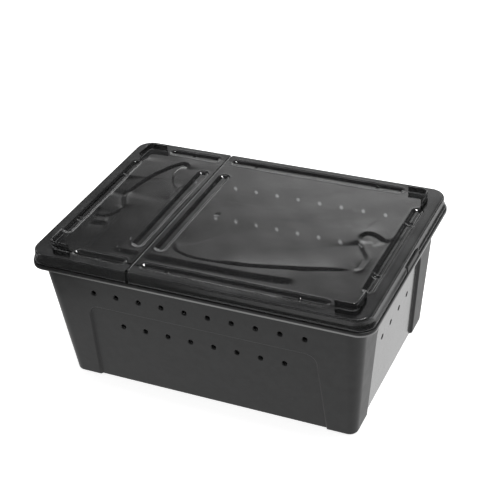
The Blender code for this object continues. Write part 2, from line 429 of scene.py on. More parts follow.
def carve(item: Object, tool: Object, operation: str, solver: str = "EXACT") -> None:
    """Adds a Boolean modifier.

    Args:
        item: The object that is cut or added to.
        tool: The other object.
        operation: DIFFERENCE or UNION.
        solver: The Boolean solver.
    """
    modifier = item.modifiers.new(tool.name, "BOOLEAN")
    modifier.solver = solver
    modifier.operation = operation
    modifier.object = tool


def settled(item: Object, *tools: Object) -> Object:
    """Turns the result of the modifiers into a plain mesh and removes the tools.

    Args:
        item: The object, which keeps its name.
        tools: Helper objects that aren't needed afterwards.

    Returns:
        The object, without modifiers.
    """
    bpy.context.view_layer.update()
    graph = bpy.context.evaluated_depsgraph_get()
    data = bpy.data.meshes.new_from_object(item.evaluated_get(graph))
    data.name = item.name
    item.modifiers.clear()
    item.data = data
    remove(*tools)
    return item


def dress(item: Object, materials: Sequence[Material], sharp: float) -> None:
    """Gives a mesh its materials and smooth shading.

    Args:
        item: The object.
        materials: Materials in slot order.
        sharp: Edges with a larger angle stay sharp, in degrees.
    """
    item.data.materials.clear()
    for material in materials:
        item.data.materials.append(material)
    item.data.shade_smooth()
    item.data.set_sharp_from_angle(angle=math.radians(sharp))


@dataclass(frozen=True)
class CaseSizes:
    """Sizes that the tub and the lid share, as the solids have them."""

    rim_half: tuple[float, float] = (0.130, 0.0875)
    rim_radius: float = 0.012
    plateau_half: tuple[float, float] = (0.1280, 0.0866)
    plateau_radius: float = 0.012
    plateau_z: float = 0.1103
    skirt_half: tuple[float, float] = (0.1296, 0.0871)
    skirt_radius: float = 0.0116
    skirt_bottom_z: float = 0.1014
    flange_top_z: float = 0.1006
    flange_bottom_z: float = 0.0990
    lip_bottom_z: float = 0.0970
    collar_half: tuple[float, float] = (0.1263, 0.0849)
    collar_radius: float = 0.0103
    collar_top_z: float = 0.1087
    sheet: float = 0.0013
    fold_x: float = -0.0487
    fold_slot: float = 0.0022


@dataclass
class Tub:
    """The tapered tub with its rim, recessed wall panels and vents."""

    sizes: CaseSizes
    grained: BlackPlastic
    # The second finish is the black plastic with a boosted reflection, a painted reflection.
    pressed: BlackPlastic
    base_half: tuple[float, float] = (0.1125, 0.0750)
    top_half: tuple[float, float] = (0.1228, 0.0839)
    base_radius: float = 0.0065
    top_radius: float = 0.0115
    wall: float = 0.0018
    floor: float = 0.0022
    bottom_fillet: float = 0.0012
    rim_thickness: float = 0.0016
    collar_wall: float = 0.0016
    edge_round: float = 0.0006
    rim_round: float = 0.0006
    rim_steps: int = 9
    # Height of a ring on the lip's outer face, and the top of the band there that gets the boosted
    # reflection, a painted highlight.
    lip_sheen_z: float = 0.0986
    recess_depth: float = 0.0021
    recess_draft: float = 0.0008
    recess_radius: float = 0.008
    recess_lean: float = 0.0035
    recess_half: tuple[float, float] = (0.0505, 0.0910)
    recess_height: tuple[float, float] = (0.077, 0.068)
    tab_half: float = 0.01235
    tab_reach: tuple[float, float] = (0.1255, 0.1295)
    tab_top_z: float = 0.1055
    tab_draft: float = 0.0003
    tab_radius: float = 0.0008
    tab_steps: int = 5
    tab_support: float = 0.0002
    vent_radius: float = 0.0017
    vent_round: float = 0.00110
    vent_pitch: float = 0.018
    vent_sides: int = 20
    drill_depth: float = 0.006
    flush_gap: float = 0.0002
    outline_gap: float = 0.0006
    corner_steps: int = 12
    overrun: float = 0.010
    rows: tuple[tuple[Wall, int, float], ...] = (
        (Wall.FRONT, 10, 0.0820), (Wall.FRONT, 8, 0.0535), (Wall.BACK, 10, 0.0820),
        (Wall.BACK, 8, 0.0535), (Wall.LEFT, 4, 0.0535), (Wall.RIGHT, 4, 0.0535))

    def wall_half(self, axis: int, z: float) -> float:
        """Gives the half size of the tapered outer wall at a height."""
        share = z / self.sizes.flange_top_z
        return self.base_half[axis] + (self.top_half[axis] - self.base_half[axis]) * share

    def wall_ring(self, z: float, inset: float, lift: float = 0.0) -> np.ndarray:
        """Gives a ring of the wall.

        Args:
            z: Height on the taper.
            inset: How far the ring lies inside the outer wall.
            lift: How far the ring is moved up.

        Returns:
            Points of the ring.
        """
        radius = self.base_radius + (self.top_radius - self.base_radius) * z / self.sizes.flange_top_z
        half = [self.wall_half(axis, z) - inset for axis in (0, 1)]
        return bezel(half, radius - inset, z + lift, self.corner_steps)

    def foot_rings(self, floor_z: float, inset: float) -> list[np.ndarray]:
        """Gives the rings that round the edge between a floor and the wall.

        Args:
            floor_z: Height of the floor.
            inset: How far the wall lies inside the outer one.

        Returns:
            The rings, from the floor up.
        """
        rings = []
        for angle in np.linspace(0, math.pi / 2, 5):
            z = floor_z + self.bottom_fillet * (1 - math.cos(angle))
            rings.append(self.wall_ring(z, inset + self.bottom_fillet * (1 - math.sin(angle))))
        return rings

    def rim_ring(self, inset: float, z: float) -> np.ndarray:
        """Gives a ring inside the outline of the rim."""
        half = [side - inset for side in self.sizes.rim_half]
        return bezel(half, self.sizes.rim_radius - inset, z, self.corner_steps)

    def collar_ring(self, inset: float, z: float) -> np.ndarray:
        """Gives a ring inside the outline of the collar."""
        half = [side - inset for side in self.sizes.collar_half]
        return bezel(half, self.sizes.collar_radius - inset, z, self.corner_steps)

    def outside(self) -> Object:
        """Makes the outer form: wall, rim with its lip, and collar.

        Returns:
            The solid.
        """
        sizes, soft = self.sizes, self.edge_round
        rings = self.foot_rings(0, 0)
        rings += [self.wall_ring(sizes.flange_bottom_z - soft, 0),
                  self.wall_ring(sizes.flange_bottom_z - soft * 0.3, -soft * 0.3),
                  self.wall_ring(sizes.flange_bottom_z, -soft)]
        low, high, thick = sizes.lip_bottom_z, sizes.flange_top_z, self.rim_thickness
        under = sizes.flange_bottom_z
        for inset, z in ((thick + soft * 0.5, under), (thick, under - soft * 0.5),
                         (thick, low + soft * 0.8), (thick - soft * 0.25, low + soft * 0.22),
                         (thick - soft * 0.8, low), (soft * 0.8, low), (soft * 0.25, low + soft * 0.22),
                         (0, low + soft * 0.8), (0, self.lip_sheen_z)):
            rings.append(self.rim_ring(inset, z))
        for angle in np.linspace(0, math.pi / 2, self.rim_steps):
            rings.append(self.rim_ring(self.rim_round * (1 - math.cos(angle)),
                                       high - self.rim_round * (1 - math.sin(angle))))
        for inset, z in ((-soft, high), (-soft * 0.3, high + soft * 0.3), (0, high + soft),
                         (0, sizes.collar_top_z - soft * 0.7), (soft * 0.2, sizes.collar_top_z - soft * 0.2),
                         (soft * 0.7, sizes.collar_top_z)):
            rings.append(self.collar_ring(inset, z))
        return loft("tub_shell", rings)

    def tab(self, side: int) -> Object:
        """Makes the tab that stands on one end of the rim, with soft edges.

        Args:
            side: Sign of the end that it stands on.

        Returns:
            The tab.
        """
        soft, low = self.edge_round, self.sizes.flange_bottom_z + self.edge_round
        half_x = (self.tab_reach[1] - self.tab_reach[0]) / 2
        sections = []
        for shrink, z in ((0, low), (0.02, self.tab_top_z - soft), (0.25, self.tab_top_z - soft * 0.35),
                          (0.9, self.tab_top_z)):
            drawn_in = self.tab_draft * (z - low) / (self.tab_top_z - low)
            half = (half_x - soft * shrink, self.tab_half - drawn_in - soft * shrink)
            ring = bezel(half, self.tab_radius, z, self.tab_steps, self.tab_support)
            ring[:, 0] += side * sum(self.tab_reach) / 2
            sections.append(ring)
        return loft(f"rim_tab_{'right' if side > 0 else 'left'}", sections)

    def hollow(self) -> Object:
        """Makes the room inside the tub, with the wider step at the collar.

        Returns:
            The room, as a solid to cut away.
        """
        sizes = self.sizes
        rings = self.foot_rings(self.floor, self.wall)
        rings.append(self.wall_ring(sizes.flange_top_z, self.wall))
        rings.append(self.collar_ring(self.collar_wall, sizes.flange_top_z))
        rings.append(self.collar_ring(self.collar_wall, sizes.collar_top_z + self.overrun))
        return loft("tub_hollow", rings)

    def recess_outline(self, axis: int, grow: float) -> list[tuple[float, float]]:
        """Gives the outline of a recess.

        Args:
            axis: The axis that the wall faces along.
            grow: How much the outline grows on each side.

        Returns:
            Its points, as (place along the wall, height).
        """
        radius = self.recess_radius + grow
        foot, top = self.recess_half[axis] + grow, self.recess_height[axis] + grow
        shoulder = foot - self.recess_lean - radius
        arc = [(shoulder + radius * math.cos(angle), top - radius + radius * math.sin(angle))
               for angle in np.linspace(0, math.pi / 2, 13)]
        return [(-foot, -self.overrun), (foot, -self.overrun), *arc, *((-x, z) for x, z in reversed(arc))]

    def recess_tool(self, wall: Wall, inset: float) -> Object:
        """Makes the cutter of one recess, with a soft edge and a soft foot.

        Args:
            wall: The wall that it cuts.
            inset: How far the cut surface lies inside the outer wall.

        Returns:
            The cutter.
        """
        axis, side = wall.value
        depth, draft = self.recess_depth, self.recess_draft
        # Each step is how far out a section lies, and how much its outline grows.
        steps = ((-depth, -0.0007), (-depth + 0.00006, -0.0003), (-depth + 0.0003, 0.00002),
                 (-0.0006, draft * 0.72), (-0.00022, draft + 0.00006), (-0.00006, draft + 0.0003),
                 (-0.00001, draft + 0.0006), (0.0004, draft + 0.0014), (self.overrun, draft + 0.004))
        sections = []
        for reach, grow in steps:
            section = []
            for along, z in self.recess_outline(axis, grow + inset):
                out = side * (self.wall_half(axis, z) - inset + reach)
                section.append((out, along, z) if axis == 0 else (along, out, z))
            sections.append(section)
        return loft(f"recess_{wall.name.lower()}", sections)

    def drill(self) -> Object:
        """Makes the cutter of one vent: a rod whose outer end flares to round the vent's edge.

        Returns:
            The cutter, along Z, with the wall's surface at zero.
        """
        soft = self.vent_round
        profile = [(self.vent_radius, -self.drill_depth), (self.vent_radius, -soft)]
        for angle in np.linspace(0, math.pi / 2, 6)[1:-1]:
            profile.append((self.vent_radius + soft * (1 - math.cos(angle)), -soft * (1 - math.sin(angle))))
        profile += [(self.vent_radius + soft * 0.95, 0.00002), (self.vent_radius + soft * 2, 0.002)]
        sections = []
        for radius, z in profile:
            sections.append([(radius * math.cos(turn), radius * math.sin(turn), z)
                             for turn in np.linspace(0, 2 * math.pi, self.vent_sides, endpoint=False)])
        return loft("vent_drill", sections)

    def vent_tree(self, material: Material) -> NodeTree:
        """Builds the geometry nodes that drill one row of vents.

        Args:
            material: The tub's material.

        Returns:
            The node group, with inputs for the row's place, pitch, count and turn.
        """
        tree = bpy.data.node_groups.new("vent_row", "GeometryNodeTree")
        face = tree.interface
        face.new_socket("Geometry", in_out="INPUT", socket_type="NodeSocketGeometry")
        face.new_socket("Drill", in_out="INPUT", socket_type="NodeSocketObject")
        face.new_socket("Vents", in_out="INPUT", socket_type="NodeSocketInt")
        for name in ("First vent", "Pitch", "Turn"):
            face.new_socket(name, in_out="INPUT", socket_type="NodeSocketVector")
        face.new_socket("Geometry", in_out="OUTPUT", socket_type="NodeSocketGeometry")
        graph = Graph(tree)
        given = graph.add("NodeGroupInput")
        info = graph.add("GeometryNodeObjectInfo", {}, {"Object": given.outputs["Drill"]})
        line = graph.add("GeometryNodeMeshLine", {"mode": "OFFSET"}, {
            "Count": given.outputs["Vents"], "Start Location": given.outputs["First vent"],
            "Offset": given.outputs["Pitch"]})
        rods = graph.add("GeometryNodeInstanceOnPoints", {}, {
            "Points": line.outputs[0], "Instance": info.outputs["Geometry"],
            "Rotation": given.outputs["Turn"]})
        cut = graph.add("GeometryNodeMeshBoolean", {"operation": "DIFFERENCE", "solver": "EXACT"}, {
            "Mesh 1": given.outputs["Geometry"], "Mesh 2": rods.outputs[0]})
        real = graph.add("GeometryNodeRealizeInstances", {}, {"Geometry": cut.outputs[0]})
        painted = graph.add("GeometryNodeSetMaterial", {}, {
            "Geometry": real.outputs[0], "Material": material})
        graph.add("NodeGroupOutput", {}, {0: painted.outputs[0]})
        return tree

    def drill_row(self, shell: Object, tree: NodeTree, drill: Object,
                  row: tuple[Wall, int, float]) -> None:
        """Adds the modifier that drills one row.

        Args:
            shell: The tub.
            tree: The node group.
            drill: The cutter of one vent.
            row: The wall, the number of vents and their height.
        """
        wall, count, z = row
        axis, side = wall.value
        sunk = self.recess_depth if z < self.recess_height[axis] else 0.0
        out = side * (self.wall_half(axis, z) - sunk)
        first = -(count - 1) / 2 * self.vent_pitch
        lean = (self.top_half[axis] - self.base_half[axis]) / self.sizes.flange_top_z
        start, step, normal = Vector((0, 0, z)), Vector(), Vector((0, 0, -lean))
        start[axis], start[1 - axis] = out, first
        step[1 - axis] = self.vent_pitch
        normal[axis] = side
        turn = Vector((0, 0, 1)).rotation_difference(normal).to_euler()
        modifier = shell.modifiers.new(f"vents_{wall.name.lower()}_{count}", "NODES")
        modifier.node_group = tree
        given = {"Drill": drill, "Vents": count, "First vent": start, "Pitch": step, "Turn": Vector(turn)}
        for item in tree.interface.items_tree:
            if item.in_out == "INPUT" and item.name in given:
                modifier[item.identifier] = given[item.name]

    def shade_panels(self, shell: Object) -> None:
        """Gives the recessed end panels and the foot of the lip the finish with boosted reflection, a
        painted reflection that brightens them.

        Args:
            shell: The tub, with its materials.
        """
        for face in shell.data.polygons:
            x, y, z = face.center
            reach = self.recess_half[0] - self.recess_lean * max(z, 0) / self.recess_height[0]
            inside = abs(y) < reach and z < self.recess_height[0] and abs(face.normal.x) > FACING
            flush = self.wall_half(0, z) - self.recess_depth
            panel = inside and abs(abs(x) - flush) < self.flush_gap
            past = [max(abs(at) - side + self.sizes.rim_radius, 0)
                    for at, side in zip((x, y), self.sizes.rim_half)]
            outer = math.hypot(*past) > self.sizes.rim_radius - self.outline_gap
            # The lip's outer foot gets the boosted reflection too: a painted highlight along the lip.
            foot = outer and self.sizes.lip_bottom_z < z < self.lip_sheen_z
            face.material_index = (Shade.PRESSED if panel or foot else Shade.GRAINED).value

    def build(self) -> Object:
        """Makes the tub.

        Returns:
            The finished piece.
        """
        grained, pressed = self.grained.make(), self.pressed.make()
        shell, hollow = self.outside(), self.hollow()
        outer = [self.recess_tool(wall, 0) for wall in Wall]
        inner = [self.recess_tool(wall, self.wall) for wall in Wall]
        for tool in outer:
            carve(shell, tool, "DIFFERENCE")
        for tool in inner:
            carve(hollow, tool, "DIFFERENCE")
        settled(shell, *outer)
        settled(hollow, *inner)
        tabs = [self.tab(side) for side in (-1, 1)]
        for tab in tabs:
            carve(shell, tab, "UNION")
        carve(shell, hollow, "DIFFERENCE")
        settled(shell, hollow, *tabs)
        drill, tree = self.drill(), self.vent_tree(grained)
        for row in self.rows:
            self.drill_row(shell, tree, drill, row)
        settled(shell, drill)
        dress(shell, [grained, pressed], sharp=38)
        self.shade_panels(shell)
        weighted = shell.modifiers.new("even", "WEIGHTED_NORMAL")
        weighted.keep_sharp = True
        weighted.weight = 90
        settled(shell)
        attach(shell, "tub")
        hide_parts("tub")
        return shell


def smooth(value: np.ndarray) -> np.ndarray:
    """Rises smoothly from 0 to 1."""
    held = np.clip(value, 0, 1)
    return held * held * (3 - 2 * held)


def to_path(points: np.ndarray, path: np.ndarray) -> np.ndarray:
    """Gives the distance of points from a path of straight pieces.

    Args:
        points: The points, one row each.
        path: The corners of the path.

    Returns:
        The distances.
    """
    best = np.full(len(points), np.inf)
    for start, end in zip(path, path[1:]):
        run = end - start
        share = np.clip((points - start) @ run / max(run @ run, TINY), 0, 1)
        best = np.minimum(best, np.linalg.norm(points - start - share[:, None] * run, axis=1))
    return best


def rounded_path(points: Sequence[tuple[float, float]], pieces: int = 5) -> np.ndarray:
    """Runs a smooth curve through points.

    Args:
        points: The points, in millimetres.
        pieces: Pieces between two points.

    Returns:
        Points of the curve, in metres.
    """
    given = np.array(points) / 1000
    last = len(given) - 1
    curve = []
    for index in range(last):
        a, b, c, d = (given[min(max(index + shift, 0), last)] for shift in (-1, 0, 1, 2))
        for t in np.arange(pieces) / pieces:
            curve.append(0.5 * (2 * b + (c - a) * t + (2 * a - 5 * b + 4 * c - d) * t ** 2
                                + (3 * b - a - 3 * c + d) * t ** 3))
    curve.append(given[-1])
    return np.array(curve)


@dataclass(frozen=True)
class FlowMark:
    """A low step along a path in the moulded sheet, which stands higher on the left of the path."""

    path: tuple[tuple[float, float], ...]
    rise: float
    width: float = 0.003
    settle: float = 0.010
    fade: float = 0.006
    right_share: float = 1.0

    def height_at(self, points: np.ndarray) -> np.ndarray:
        """Gives the height of the step, which settles back to level on both sides.

        Args:
            points: Places on the sheet, one row each.

        Returns:
            The heights.
        """
        curve = rounded_path(self.path)
        runs = np.diff(curve, axis=0)
        lengths = np.linalg.norm(runs, axis=1)
        before = np.concatenate([[0], np.cumsum(lengths)])
        best, side, along = (np.full(len(points), value) for value in (np.inf, 0.0, 0.0))
        for start, run, length, passed in zip(curve, runs, lengths, before):
            off = points - start
            share = np.clip(off @ run / (length * length), 0, 1)
            apart = np.linalg.norm(off - share[:, None] * run, axis=1)
            closer = apart < best
            best = np.where(closer, apart, best)
            side = np.where(closer, np.sign(run[0] * off[:, 1] - run[1] * off[:, 0]), side)
            along = np.where(closer, passed + share * length, along)
        ends = smooth(along / self.fade) * smooth((before[-1] - along) / self.fade)
        step = np.sin(np.clip(best / self.width, 0, 0.5) * math.pi)
        beyond = np.maximum(best - self.width / 2, 0)
        held = np.where(side < 0, self.right_share, 1.0)
        return self.rise / 2 * side * held * step * ends * np.exp(-beyond / self.settle)


@dataclass(frozen=True)
class Relief:
    """The slight unevenness of a thin moulded sheet: steps that the flow left, and a faint swell."""

    marks: tuple[FlowMark, ...]
    swell: float = 0.000022

    def at(self, x: np.ndarray, y: np.ndarray) -> np.ndarray:
        """Gives the height of the relief.

        Args:
            x: Places along X.
            y: Places along Y.

        Returns:
            The heights.
        """
        points = np.stack([x.ravel(), y.ravel()], 1)
        made = sum((mark.height_at(points) for mark in self.marks), np.zeros(len(points)))
        waves = (np.sin(x * 131 + y * 57 + 0.6) + np.sin(x * 83 - y * 149 + 2.1)
                 + 0.6 * np.sin(x * 211 + y * 190))
        return made.reshape(x.shape) + self.swell * waves


@dataclass(frozen=True)
class Groove:
    """A groove made by pressing, with round ends and a low lip beside it.

    Its middle is wider and deeper, with a small pit at each joint.
    """

    start: tuple[float, float]
    end: tuple[float, float]
    trims: tuple[float, float] = (0.0205, 0.0205)
    end_half: float = 0.0042
    end_depth: float = 0.0013
    half: float = 0.0045
    depth: float = 0.0014
    bed_share: float = 0.44
    lip: float = 0.00006
    lip_reach: float = 0.0009
    pit_reach: float = 0.0015
    pit_depth: float = 0.0007
    wall_mix: tuple[float, float] = (0.55, 0.45)

    def line(self) -> tuple[np.ndarray, np.ndarray, np.ndarray]:
        """Gives both ends of the groove and the direction from its start to its end."""
        start, end = np.array(self.start), np.array(self.end)
        return start, end, (end - start) / np.linalg.norm(end - start)

    def share_in(self, x: np.ndarray, y: np.ndarray, trims: tuple[float, float], half: float) -> np.ndarray:
        """Gives how far places lie down the wall of one length of the groove, from 0 at its edge to 1.

        Args:
            x: Places along X.
            y: Places along Y.
            trims: How much shorter it is at its start and at its end.
            half: Half its width.

        Returns:
            The shares, which are negative outside the groove and above 1 over its bed.
        """
        start, end, along = self.line()
        path = np.array([start + along * (trims[0] + half), end - along * (trims[1] + half)])
        apart = to_path(np.stack([x.ravel(), y.ravel()], 1), path).reshape(x.shape)
        return (half - apart) / (half * (1 - self.bed_share))

    def at(self, x: np.ndarray, y: np.ndarray) -> np.ndarray:
        """Gives the depth of the groove.

        Args:
            x: Places along X.
            y: Places along Y.

        Returns:
            The depths.
        """
        whole = self.share_in(x, y, (0, 0), self.end_half)
        middle = self.share_in(x, y, self.trims, self.half)
        curved, straight = self.wall_mix
        depths = [depth * (curved * smooth(share) + straight * np.clip(share, 0, 1))
                  for share, depth in ((whole, self.end_depth), (middle, self.depth))]
        outside = -np.maximum(whole, middle) * self.half * (1 - self.bed_share)
        beside = smooth(1 - np.abs(outside - self.lip_reach) / (self.lip_reach * 1.3))
        made = np.maximum(*depths) - self.lip * beside
        start, end, along = self.line()
        for trim, corner, way in ((self.trims[0], start, 1), (self.trims[1], end, -1)):
            if trim > 0:
                joint = corner + along * way * trim
                off = np.stack([x - joint[0], y - joint[1]], -1)
                reach = np.hypot((off @ along) / self.pit_reach, (off @ along[::-1]) / self.half)
                made = made + self.pit_depth * smooth(1 - reach)
        return made


def graded(low: float, high: float, close: Sequence[float], reach: float,
           fine: float, coarse: float) -> np.ndarray:
    """Gives lines that stand closer together near some places.

    Args:
        low: The first line.
        high: The last line.
        close: Places with close lines.
        reach: How far from a place the lines are close.
        fine: Spacing of close lines.
        coarse: Spacing elsewhere.

    Returns:
        The lines.
    """
    lines = [low]
    while lines[-1] < high:
        away = min((abs(lines[-1] - place) for place in close), default=math.inf)
        lines.append(lines[-1] + fine + (coarse - fine) * float(smooth(np.array((away - reach) / 0.003))))
    made = np.array(lines)
    return low + (made - low) * (high - low) / (made[-1] - low)


@dataclass
class LidPanel:
    """One panel of the lid: a thin uneven sheet with grooves, a skirt and stacking locators."""

    panel: Panel
    sizes: CaseSizes
    finishes: dict[Sheen, Material]
    relief: Relief
    fillet: float = 0.0017
    fine: float = 0.00069
    coarse: float = 0.0013
    fine_reach: float = 0.0068
    joint_inset: float = 0.0205
    inner_joint: float = 0.0265
    relief_fade: float = 0.006
    border_reach: float = 0.0015
    groove_inset_sides: float = 0.0108
    groove_inset_ends: float = 0.0124
    corner_gap: float = 0.0308
    fold_gap: float = 0.0055
    fold_groove_offset: float = 0.0091
    skirt_profile: tuple[tuple[float, float], ...] = (
        (0, 0), (0.06, 0.01), (0.40, 0.12), (0.46, 0.15), (0.52, 0.21), (0.58, 0.30), (1, 1))
    foot_round: float = 0.0004
    notch_half: float = 0.01275
    notch_height: float = 0.0045
    notch_run: float = 0.001
    locator_height: float = 0.0047
    locator_wall: float = 0.0012
    locator_reach: tuple[float, float] = (0.016, 0.0175)
    locator_inset: tuple[float, float] = (0.0112, 0.0101)
    locator_radius: float = 0.005
    gate: tuple[float, float] | None = None
    gate_pit: tuple[float, float] = (0.00045, 0.0024)
    gate_stub: tuple[float, float] = (0.00060, 0.0012)

    @property
    def name(self) -> str:
        """Name of the piece."""
        return "lid_main_sheet" if self.panel is Panel.MAIN else "lid_flap_sheet"

    @property
    def side(self) -> int:
        """Sign of the side of the fold."""
        return self.panel.value

    def edge_x(self) -> float:
        """Gives the edge along the fold."""
        return self.sizes.fold_x + self.side * self.sizes.fold_slot / 2

    def grooves(self) -> list[Groove]:
        """Gives the grooves: two along the sides, one along the end and one along the fold.

        Returns:
            The grooves.
        """
        half = self.sizes.plateau_half
        line_y = half[1] - self.groove_inset_sides
        outer = self.side * (half[0] - self.corner_gap)
        inner = self.sizes.fold_x + self.side * self.fold_gap
        low, high = sorted((outer, inner))
        line_x = self.side * (half[0] - self.groove_inset_ends)
        reach = half[1] - self.corner_gap
        fold_x = self.sizes.fold_x + self.side * self.fold_groove_offset
        made = [Groove((line_x, -reach), (line_x, reach)),
                Groove((fold_x, -reach), (fold_x, reach), trims=(0.0, 0.0))]
        trims = made[0].trims if self.panel is Panel.MAIN else (made[0].trims[0], 0.0)
        made += [Groove((low, sign * line_y), (high, sign * line_y), trims=trims) for sign in (-1, 1)]
        return made

    def lines(self) -> tuple[np.ndarray, np.ndarray]:
        """Gives the lines of the sheet's grid.

        Returns:
            Distances from the edge at the fold, and places along Y.
        """
        half, edge = self.sizes.plateau_half, self.edge_x()
        ends = [abs(self.side * (half[0] - self.groove_inset_ends) - edge),
                abs(self.side * (half[0] - self.corner_gap) - edge),
                abs(self.sizes.fold_x + self.side * self.fold_groove_offset - edge), 0.0]
        ends.append(ends[1] - self.joint_inset)
        if self.panel is Panel.MAIN:
            ends.append(self.inner_joint)
        reach = half[1] - self.corner_gap
        sides = [sign * place for sign in (-1, 1)
                 for place in (half[1] - self.groove_inset_sides, reach, reach - self.joint_inset)]
        run = abs(self.side * (half[0] - self.fillet) - edge)
        width = half[1] - self.fillet
        along = graded(0, run, ends, self.fine_reach, self.fine, self.coarse)
        across = graded(-width, width, sides, self.fine_reach, self.fine, self.coarse)
        return along, across

    def field(self) -> tuple[np.ndarray, np.ndarray]:
        """Gives the places of the flat field's grid, with round outer corners.

        Returns:
            The places along X and along Y, as two tables.
        """
        along, across = self.lines()
        a, y = np.meshgrid(along, across, indexing="ij")
        radius = self.sizes.plateau_radius - self.fillet
        run, reach = along[-1], across[-1]
        u = np.clip((a - (run - radius)) / radius, 0, 1)
        v = np.clip((np.abs(y) - (reach - radius)) / radius, 0, 1)
        corner = (u > 0) & (v > 0)
        a = np.where(corner, run - radius + radius * u * np.sqrt(1 - v * v / 2), a)
        y = np.where(corner, np.sign(y) * (reach - radius + radius * v * np.sqrt(1 - u * u / 2)), y)
        return self.edge_x() + self.side * a, y

    def height(self, x: np.ndarray, y: np.ndarray) -> np.ndarray:
        """Gives the height of the sheet above its flat level.

        Args:
            x: Places along X.
            y: Places along Y.

        Returns:
            The heights.
        """
        made = self.relief.at(x, y)
        edge = np.minimum.reduce([
            self.sizes.plateau_half[0] - self.fillet - np.abs(x),
            self.sizes.plateau_half[1] - self.fillet - np.abs(y)])
        made = made * smooth(edge / self.relief_fade)
        for groove in self.grooves():
            made = made - groove.at(x, y)
        if self.gate is not None:
            apart = np.hypot(x - self.gate[0], y - self.gate[1])
            (pit, pit_reach), (stub, stub_reach) = self.gate_pit, self.gate_stub
            made = made - pit * smooth(1 - apart / pit_reach) + stub * smooth(1 - apart / stub_reach)
        return made

    def border(self, x: np.ndarray, y: np.ndarray) -> list[tuple[int, int]]:
        """Gives the grid points round the three sides that carry the skirt.

        Args:
            x: Places of the grid along X.
            y: Places of the grid along Y; not used.

        Returns:
            The points' rows and columns in the grid, in order.
        """
        last_i, last_j = x.shape[0] - 1, x.shape[1] - 1
        return ([(i, 0) for i in range(last_i + 1)] + [(last_i, j) for j in range(1, last_j + 1)]
                + [(i, last_j) for i in range(last_i - 1, -1, -1)])

    def ring(self, loop: np.ndarray, half: Sequence[float], radius: float) -> np.ndarray:
        """Moves the border of the field out to another outline.

        Args:
            loop: The border of the field.
            half: Half sizes of the outline.
            radius: Its corner radius.

        Returns:
            The places on the outline.
        """
        field_half = [side - self.fillet for side in self.sizes.plateau_half]
        field_radius = self.sizes.plateau_radius - self.fillet
        x, y = loop[:, 0] * self.side, loop[:, 1]
        edge = self.edge_x() * self.side
        bend_x, bend_y = field_half[0] - field_radius, field_half[1] - field_radius
        new_x, new_y = half[0] - radius, half[1] - radius
        corner = (x >= bend_x - TINY) & (np.abs(y) >= bend_y - TINY)
        angle = np.arctan2(np.abs(y) - bend_y, x - bend_x)
        made_x = np.where(x >= bend_x, half[0], edge + (x - edge) * (new_x - edge) / (bend_x - edge))
        made_y = np.where(np.abs(y) >= bend_y, np.sign(y) * half[1], y * new_y / bend_y)
        made_x = np.where(corner, new_x + radius * np.cos(angle), made_x)
        made_y = np.where(corner, np.sign(y) * (new_y + radius * np.sin(angle)), made_y)
        return np.stack([made_x * self.side, made_y], 1)

    def skirt(self, loop: np.ndarray, inset: float) -> list[np.ndarray]:
        """Gives the rings of the rounded edge and the skirt, from the field to the skirt's foot.

        Args:
            loop: The border of the field.
            inset: How far the surface lies inside the outer one.

        Returns:
            The rings, as points.
        """
        sizes, fillet = self.sizes, self.fillet - inset
        rings = []
        for angle in np.linspace(math.pi / 2, 0, 7)[1:]:
            shrink = inset + fillet * (1 - math.cos(angle))
            half = [side - shrink for side in sizes.plateau_half]
            flat = self.ring(loop, half, sizes.plateau_radius - shrink)
            rings.append(at_height(flat, sizes.plateau_z - inset - fillet * (1 - math.sin(angle))))
        top, soft = rings[-1], self.foot_round
        foot = self.ring(loop, [side - inset for side in sizes.skirt_half], sizes.skirt_radius - inset)
        notch = smooth((self.notch_half + self.notch_run / 2 - np.abs(foot[:, 1])) / self.notch_run)
        notch *= np.abs(foot[:, 0]) > sizes.collar_half[0]
        low = sizes.skirt_bottom_z + notch * self.notch_height
        span, whole = top[:, 2] - low, top[:, 2] - sizes.skirt_bottom_z
        drops, reaches = np.array(self.skirt_profile).T
        for share in (*drops[1:-1], 0.8, 1 - soft / sizes.sheet * 0.35):
            reach = np.interp(span * share / whole, drops, reaches)
            flat = top[:, :2] + (foot - top[:, :2]) * reach[:, None]
            rings.append(np.column_stack([flat, top[:, 2] - span * share]))
        turn = soft * (0.35 if inset == 0 else -0.35)
        last = rings[-1][:, :2]
        inward = -last / np.linalg.norm(last, axis=1)[:, None]
        rings.append(np.column_stack([last + inward * turn, low]))
        return rings

    def sheet(self) -> Object:
        """Makes the sheet with its skirt as one closed shell.

        Returns:
            The shell.
        """
        x, y = self.field()
        rise = self.height(x, y)
        order = self.border(x, y)
        mesh = bmesh.new()
        grids, paths, feet = [], [], []
        for inset in (0.0, self.sizes.sheet):
            z = self.sizes.plateau_z - inset + rise
            grid = [[mesh.verts.new(p) for p in zip(*row)] for row in zip(x, y, z)]
            for i in range(len(grid) - 1):
                for j in range(len(grid[0]) - 1):
                    mesh.faces.new((grid[i][j], grid[i + 1][j], grid[i + 1][j + 1], grid[i][j + 1]))
            previous = [grid[i][j] for i, j in order]
            loop = np.array([(x[i, j], y[i, j]) for i, j in order])
            ends = [[], []]
            for ring in self.skirt(loop, inset):
                made = [mesh.verts.new(point) for point in ring]
                bridge(mesh, previous, made)
                ends[0].append(made[0])
                ends[1].append(made[-1])
                previous = made
            feet.append(previous)
            paths.append(list(reversed(ends[0])) + grid[0] + ends[1])
            grids.append(grid)
        for outer, inner in (feet, paths):
            bridge(mesh, outer, inner)
        bmesh.ops.recalc_face_normals(mesh, faces=mesh.faces)
        return link(self.name, mesh)

